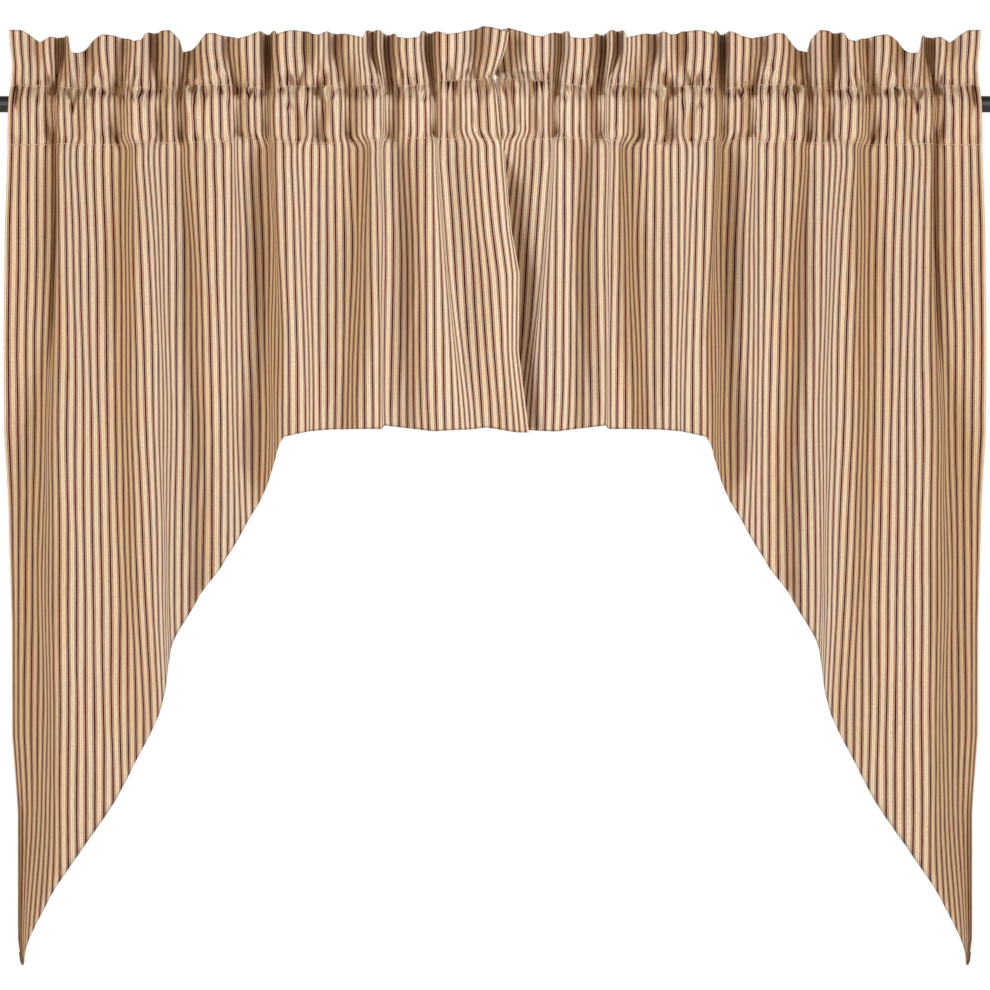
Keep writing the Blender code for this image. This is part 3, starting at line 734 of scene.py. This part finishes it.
def panel_mesh(name, mirrored):
    across = grid_columns()
    heights = front_heights(across, mirrored)
    wide = np.broadcast_to(across, heights.shape)
    cloth = Cloth()
    turned = turned_heights(across)
    turned_wide = np.broadcast_to(across, turned.shape)
    turned_flat = np.stack([turned_wide, 2 * HEADING_TOP - turned], axis=-1)
    turned_index = cloth.add(turned_points(turned_wide, turned, mirrored), turned_flat)
    front_index = cloth.add(
        cloth_point(wide, heights, -1.0, mirrored), np.stack([wide, heights], axis=-1)
    )
    cloth.join(np.vstack([turned_index, front_index]))
    add_bottom_hem(cloth, across, front_index[-1], mirrored)
    sides = heights[heights[:, 0] < SIDE_HEM_START]
    skipped = len(heights) - len(sides)
    add_side_hem(cloth, front_index[skipped:, 0], sides[:, 0], True, mirrored)
    add_side_hem(cloth, front_index[skipped:, -1], sides[:, -1], False, mirrored)
    return cloth.mesh(name, mirrored)


# Ticking. Cotton woven with a fine upright stripe: a wine line with a rosy
# band at each side of it, thin grey-brown lines and a cream ground. The
# stripe follows the cloth's own flat places, so it closes up in each fold.
# Columns: width in millimetres, sRGB colour from 0 to 255.
STRIPES = (
    (1.50, (58, 20, 22)),
    (1.15, (212, 170, 152)),
    (0.60, (156, 118, 92)),
    (1.75, (246, 231, 198)),
    (0.35, (208, 182, 146)),
    (1.75, (246, 231, 198)),
    (0.60, (156, 118, 92)),
    (1.00, (212, 170, 152)),
)
STRIPE_START = 0.00467
STRIPE_SOFTNESS = 0.012
YARN_SCALE = (900.0, 60.0, 1.0)
YARN_WOBBLE = 0.0005
SLUB_SCALE = (260.0, 1100.0, 1.0)
SLUB_DARKEST = 0.86
SLUB_PALEST = 1.1
NOISE_SPAN = (0.25, 0.75)
WEAVE_SCALE = (1500.0, 1500.0, 1.0)
WEAVE_DEPTH = 0.0002
WEAVE_STRENGTH = 0.35
COTTON_ROUGHNESS = 0.92
COTTON_SHEEN = 0.12
SHEEN_ROUGHNESS = 0.5
COTTON_GLOSS = 0.15


def linear(colour):
    """Linear colour for an sRGB one from 0 to 255."""
    values = [channel / 255.0 for channel in colour]
    dark = [value / 12.92 for value in values]
    light = [((value + 0.055) / 1.055) ** 2.4 for value in values]
    return [low if value <= 0.04045 else high for value, low, high in zip(values, dark, light)] + [1.0]


def new_node(tree, kind, **inputs):
    node = tree.nodes.new(kind)
    for key, value in inputs.items():
        node.inputs[key.replace("_", " ")].default_value = value
    return node


def math_node(tree, operation, first, second):
    node = tree.nodes.new("ShaderNodeMath")
    node.operation = operation
    for socket, value in zip(node.inputs, (first, second)):
        if hasattr(value, "is_output"):
            tree.links.new(value, socket)
        else:
            socket.default_value = value
    return node.outputs[0]


def ticking(name):
    material = bpy.data.materials.new(name)
    material.use_nodes = True
    tree = material.node_tree
    links = tree.links
    shader = tree.nodes["Principled BSDF"]
    flat = tree.nodes.new("ShaderNodeUVMap")
    flat.uv_map = "cloth"
    yarns = new_node(tree, "ShaderNodeMapping")
    yarns.inputs["Scale"].default_value = YARN_SCALE
    wobble = new_node(tree, "ShaderNodeTexNoise", Scale=1.0, Detail=2.0)
    links.new(flat.outputs["UV"], yarns.inputs["Vector"])
    links.new(yarns.outputs["Vector"], wobble.inputs["Vector"])
    split = tree.nodes.new("ShaderNodeSeparateXYZ")
    links.new(flat.outputs["UV"], split.inputs[0])
    shifted = math_node(tree, "MULTIPLY_ADD", wobble.outputs["Fac"], YARN_WOBBLE)
    shifted.node.inputs[2].default_value = STRIPE_START
    place = math_node(tree, "ADD", split.outputs["X"], shifted)
    repeat = math_node(tree, "DIVIDE", place, STRIPE_REPEAT * MM)
    phase = math_node(tree, "FRACT", repeat, 0.0)
    ramp = tree.nodes.new("ShaderNodeValToRGB")
    links.new(phase, ramp.inputs["Fac"])
    ramp.color_ramp.interpolation = "LINEAR"
    stops = []
    start = 0.0
    for width, colour in STRIPES:
        end = start + width / STRIPE_REPEAT
        stops += [(start + STRIPE_SOFTNESS, colour), (end - STRIPE_SOFTNESS, colour)]
        start = end
    elements = ramp.color_ramp.elements
    elements[0].position, elements[1].position = stops[0][0], stops[-1][0]
    elements[0].color, elements[1].color = linear(stops[0][1]), linear(stops[-1][1])
    for position, colour in stops[1:-1]:
        elements.new(position).color = linear(colour)
    slubs = new_node(tree, "ShaderNodeMapping")
    slubs.inputs["Scale"].default_value = SLUB_SCALE
    weft = new_node(tree, "ShaderNodeTexNoise", Scale=1.0, Detail=3.0)
    links.new(flat.outputs["UV"], slubs.inputs["Vector"])
    links.new(slubs.outputs["Vector"], weft.inputs["Vector"])
    tone = new_node(tree, "ShaderNodeMapRange")
    tone.inputs["From Min"].default_value = NOISE_SPAN[0]
    tone.inputs["From Max"].default_value = NOISE_SPAN[1]
    tone.inputs["To Min"].default_value = SLUB_DARKEST
    tone.inputs["To Max"].default_value = SLUB_PALEST
    links.new(weft.outputs["Fac"], tone.inputs["Value"])
    shade = tree.nodes.new("ShaderNodeMix")
    shade.data_type = "RGBA"
    shade.blend_type = "MULTIPLY"
    shade.inputs[0].default_value = 1.0
    links.new(ramp.outputs["Color"], shade.inputs[6])
    links.new(tone.outputs["Result"], shade.inputs[7])
    links.new(shade.outputs[2], shader.inputs["Base Color"])
    threads = new_node(tree, "ShaderNodeMapping")
    threads.inputs["Scale"].default_value = WEAVE_SCALE
    weave = new_node(tree, "ShaderNodeTexNoise", Scale=1.0, Detail=2.0)
    links.new(flat.outputs["UV"], threads.inputs["Vector"])
    links.new(threads.outputs["Vector"], weave.inputs["Vector"])
    bump = new_node(tree, "ShaderNodeBump", Strength=WEAVE_STRENGTH, Distance=WEAVE_DEPTH)
    links.new(weave.outputs["Fac"], bump.inputs["Height"])
    links.new(bump.outputs["Normal"], shader.inputs["Normal"])
    shader.inputs["Roughness"].default_value = COTTON_ROUGHNESS
    shader.inputs["Specular IOR Level"].default_value = COTTON_GLOSS
    shader.inputs["Sheen Weight"].default_value = COTTON_SHEEN
    shader.inputs["Sheen Roughness"].default_value = SHEEN_ROUGHNESS
    return material


TICKING = ticking("cotton_ticking")

# Stitches. Two rows on each panel, sewn with pale cotton thread through both
# layers: the upper one closes the pocket under the ruffle, the lower one
# holds the turned-over edge. Each stitch is a short arched run of thread.
STITCH_PITCH = 4.1
STITCH_LENGTH = 3.3
THREAD_RADIUS = 0.3
STITCH_ARCH = 0.25
STITCH_POINTS = 4
THREAD_SIDES = 5
FIRST_STITCH = 3.9
THREAD_LIFT = 0.18
THREAD_END_SHARE = 0.55
THREAD_SHADE = (206, 180, 150)
THREAD_CREAM = (250, 236, 212)
THREAD_ROUGHNESS = 0.7
TWIST_SCALE = 2500.0
TWIST_STRENGTH = 0.4
TWIST_DEPTH = 0.0001


def cotton_thread(name):
    material = bpy.data.materials.new(name)
    material.use_nodes = True
    tree = material.node_tree
    shader = tree.nodes["Principled BSDF"]
    place = tree.nodes.new("ShaderNodeTexCoord")
    twist = new_node(tree, "ShaderNodeTexNoise", Scale=TWIST_SCALE, Detail=1.0)
    tone = tree.nodes.new("ShaderNodeValToRGB")
    tone.color_ramp.elements[0].color = linear(THREAD_SHADE)
    tone.color_ramp.elements[1].color = linear(THREAD_CREAM)
    bump = new_node(tree, "ShaderNodeBump", Strength=TWIST_STRENGTH, Distance=TWIST_DEPTH)
    tree.links.new(place.outputs["Object"], twist.inputs["Vector"])
    tree.links.new(twist.outputs["Fac"], tone.inputs["Fac"])
    tree.links.new(tone.outputs["Color"], shader.inputs["Base Color"])
    tree.links.new(twist.outputs["Fac"], bump.inputs["Height"])
    tree.links.new(bump.outputs["Normal"], shader.inputs["Normal"])
    shader.inputs["Roughness"].default_value = THREAD_ROUGHNESS
    return material


THREAD = cotton_thread("cream_cotton_thread")


def stitch_row(name, height, mirrored):
    """One row of stitches as a mesh of short tubes on the cloth's face."""
    starts = np.arange(FIRST_STITCH, CLOTH_WIDTH - STITCH_PITCH, STITCH_PITCH)
    along = np.linspace(0.0, 1.0, STITCH_POINTS)
    places = starts[:, None] + STITCH_LENGTH * along
    heights = np.full_like(places, height)
    centre = cloth_point(places, heights, -1.0, mirrored)
    outward = -square_to(places, heights, -1.0, mirrored)
    arch = THREAD_LIFT + STITCH_ARCH * np.sin(np.pi * along)
    centre = centre + outward * arch[None, :, None]
    turns = 2.0 * np.pi * np.arange(THREAD_SIDES) / THREAD_SIDES
    upward = np.array([0.0, 0.0, 1.0])
    share = THREAD_END_SHARE + (1.0 - THREAD_END_SHARE) * np.sin(np.pi * along)
    thick = THREAD_RADIUS * share[None, :, None, None]
    across_thread = outward[:, :, None, :] * np.cos(turns)[None, None, :, None]
    ring = across_thread + upward * np.sin(turns)[None, None, :, None]
    points = (centre[:, :, None, :] + thick * ring).reshape(-1, 3) * MM
    if mirrored:
        points = points * (-1.0, 1.0, 1.0)
    index = np.arange(len(points)).reshape(len(starts), STITCH_POINTS, THREAD_SIDES)
    following = np.roll(index, -1, axis=2)
    quads = np.stack([index[:, :-1], following[:, :-1], following[:, 1:], index[:, 1:]], axis=-1)
    faces = quads.reshape(-1, 4).tolist() + index[:, 0, ::-1].tolist() + index[:, -1].tolist()
    if mirrored:
        faces = [face[::-1] for face in faces]
    made = bpy.data.meshes.new(name)
    made.from_pydata(points.tolist(), [], faces)
    made.shade_smooth()
    made.materials.append(THREAD)
    row = bpy.data.objects.new(name, made)
    bpy.context.scene.collection.objects.link(row)
    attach(row, "root")
    return row


def hang_panel(name, node, mirrored):
    panel = bpy.data.objects.new(name, panel_mesh(name, mirrored))
    bpy.context.scene.collection.objects.link(panel)
    panel.data.materials.append(TICKING)
    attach(panel, "root")
    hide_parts(node)
    stitches = [
        stitch_row(name + "_upper_stitches", UPPER_STITCH, mirrored),
        stitch_row(name + "_lower_stitches", LOWER_STITCH, mirrored),
    ]
    return [panel] + stitches


left_pieces = hang_panel("left_cloth", "left_panel", mirrored=False)

# Right panel. The same cut of ticking, turned over so that its tail hangs at
# the other side. Its inner edge goes behind the left panel's, except at the
# rod pocket, where the two edges meet.
right_pieces = hang_panel("right_cloth", "right_panel", mirrored=True)

# Stage. A plain pale floor well below the tails, and two soft boxes for each
# panel: a white one, the key, from the other panel's side, and a weaker warm
# one from its own side, so that both panels are lit from the centre outwards.
FLOOR_HEIGHT = -1.25
FLOOR_SIZE = 5.0
FLOOR_COLOUR = (0.82, 0.82, 0.82, 1.0)
FLOOR_ROUGHNESS = 0.9
bpy.ops.object.select_all(action="DESELECT")
bpy.ops.mesh.primitive_plane_add(size=FLOOR_SIZE, location=(0.0, 0.0, FLOOR_HEIGHT))
floor = bpy.context.object
floor.name = "floor"
pale = bpy.data.materials.new("pale_floor")
pale.use_nodes = True
floor_paint = pale.node_tree.nodes["Principled BSDF"]
floor_paint.inputs["Base Color"].default_value = FLOOR_COLOUR
floor_paint.inputs["Roughness"].default_value = FLOOR_ROUGHNESS
floor.data.materials.append(pale)

# The room is white behind the drape, and dim and warm at the viewer's side.
BRIGHT_WALL = (1.0, 1.0, 1.0, 1.0)
DIM_ROOM = (0.25, 0.17, 0.11, 1.0)
DIM_UP_TO = 0.3
BRIGHT_FROM = 0.8
world = bpy.data.worlds.new("white_room")
world.use_nodes = True
room = world.node_tree
toward = room.nodes.new("ShaderNodeTexCoord")
parts = room.nodes.new("ShaderNodeSeparateXYZ")
level = room.nodes.new("ShaderNodeMapRange")
level.inputs["From Min"].default_value = DIM_UP_TO
level.inputs["From Max"].default_value = BRIGHT_FROM
walls = room.nodes.new("ShaderNodeMix")
walls.data_type = "RGBA"
walls.inputs[6].default_value = DIM_ROOM
walls.inputs[7].default_value = BRIGHT_WALL
room.links.new(toward.outputs["Generated"], parts.inputs[0])
room.links.new(parts.outputs["Y"], level.inputs["Value"])
room.links.new(level.outputs["Result"], walls.inputs[0])
room.links.new(walls.outputs[2], room.nodes["Background"].inputs["Color"])
bpy.context.scene.world = world
bpy.context.scene.view_settings.view_transform = "Standard"

# Soft boxes. Distances in metres: how far to the side of the middle line,
# in front of the rod and above it.
PANEL_MIDDLE = 0.24
PANEL_HEIGHT = -0.25
KEY_PLACE = (0.95, 1.35, 0.08)
KEY_SIZE = (0.6, 0.8)
WARM_PLACE = (1.5, 0.9, -0.15)
WARM_SIZE = (0.6, 1.2)
KEY_POWER = 20.5
KEY_COLOUR = (0.96, 1.0, 1.06)
WARM_POWER = 7.6
WARM_COLOUR = (1.0, 0.78, 0.56)


def soft_light(name, place, size, power, colour, side, pieces):
    """A soft box that lights the pieces of one panel, the rod and the floor."""
    light = bpy.data.lights.new(name, "AREA")
    light.shape = "RECTANGLE"
    light.size, light.size_y = size
    light.energy = power
    light.color = colour
    lamp = bpy.data.objects.new(name, light)
    bpy.context.scene.collection.objects.link(lamp)
    lamp.location = place
    toward = np.array((side * PANEL_MIDDLE, 0.0, PANEL_HEIGHT)) - np.array(place)
    lamp.rotation_euler = (
        float(np.arctan2(np.hypot(toward[0], toward[1]), -toward[2])), 0.0,
        float(np.arctan2(toward[1], toward[0]) - np.pi / 2),
    )
    lit = bpy.data.collections.new(name + "_lights")
    for piece in pieces + [rod, floor]:
        lit.objects.link(piece)
    lamp.light_linking.receiver_collection = lit


for side, name, pieces in ((-1.0, "left", left_pieces), (1.0, "right", right_pieces)):
    key_place = (-side * KEY_PLACE[0], -KEY_PLACE[1], KEY_PLACE[2])
    warm_place = (side * WARM_PLACE[0], -WARM_PLACE[1], WARM_PLACE[2])
    soft_light(name + "_key", key_place, KEY_SIZE, KEY_POWER, KEY_COLOUR, side, pieces)
    soft_light(name + "_warm", warm_place, WARM_SIZE, WARM_POWER, WARM_COLOUR, side, pieces)

# Camera. Square to the window, level with the middle of the drape, and far
# off, so that both panels look alike. The frame is as wide as the photograph.
CAMERA_HEIGHT = -0.381
CAMERA_DISTANCE = 4.0
VIEW_WIDTH = 0.9652
SENSOR_WIDTH = 36.0
camera_data = bpy.data.cameras.new("camera")
camera_data.sensor_width = SENSOR_WIDTH
camera_data.lens = SENSOR_WIDTH * CAMERA_DISTANCE / VIEW_WIDTH
camera = bpy.data.objects.new("camera", camera_data)
bpy.context.scene.collection.objects.link(camera)
camera.location = (0.0, -CAMERA_DISTANCE, CAMERA_HEIGHT)
camera.rotation_euler = (np.pi / 2, 0.0, 0.0)
bpy.context.scene.camera = camera
